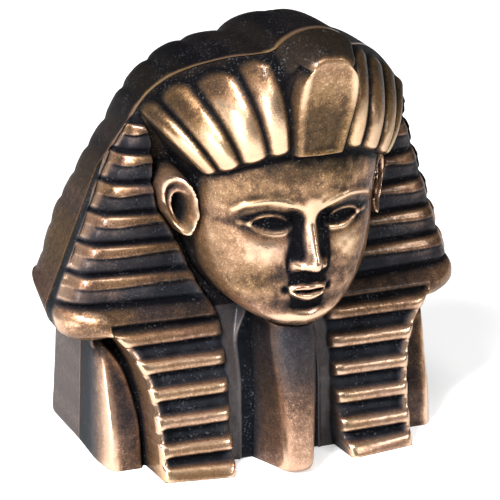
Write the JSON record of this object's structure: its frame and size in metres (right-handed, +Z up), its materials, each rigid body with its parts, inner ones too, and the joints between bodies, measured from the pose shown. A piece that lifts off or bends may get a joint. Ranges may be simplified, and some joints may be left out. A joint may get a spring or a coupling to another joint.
{
  "type": "pharaoh bust",
  "caption": "Small cast desk bust of a pharaoh with a striped head cloth and a long beard, made to stand on its flat base.",
  "frame": {"origin": "middle of the bounding box at the height of the flat base, on the base of the front casting", "axes": "+Z up from the base to the crown, the face looks along -Y, +X to the right of someone who faces it"},
  "size_m": [0.057, 0.0358, 0.0595],
  "materials": {
    "worn_copper": "antique copper plating, darkened in the hollows and rubbed bright on the ridges, under clear lacquer",
    "dark_copper": "antique copper plating left near black brown, under clear lacquer"
  },
  "bodies": {
    "root": {"front_casting": "worn_copper", "back_casting": "dark_copper"}
  },
  "joints": []
}
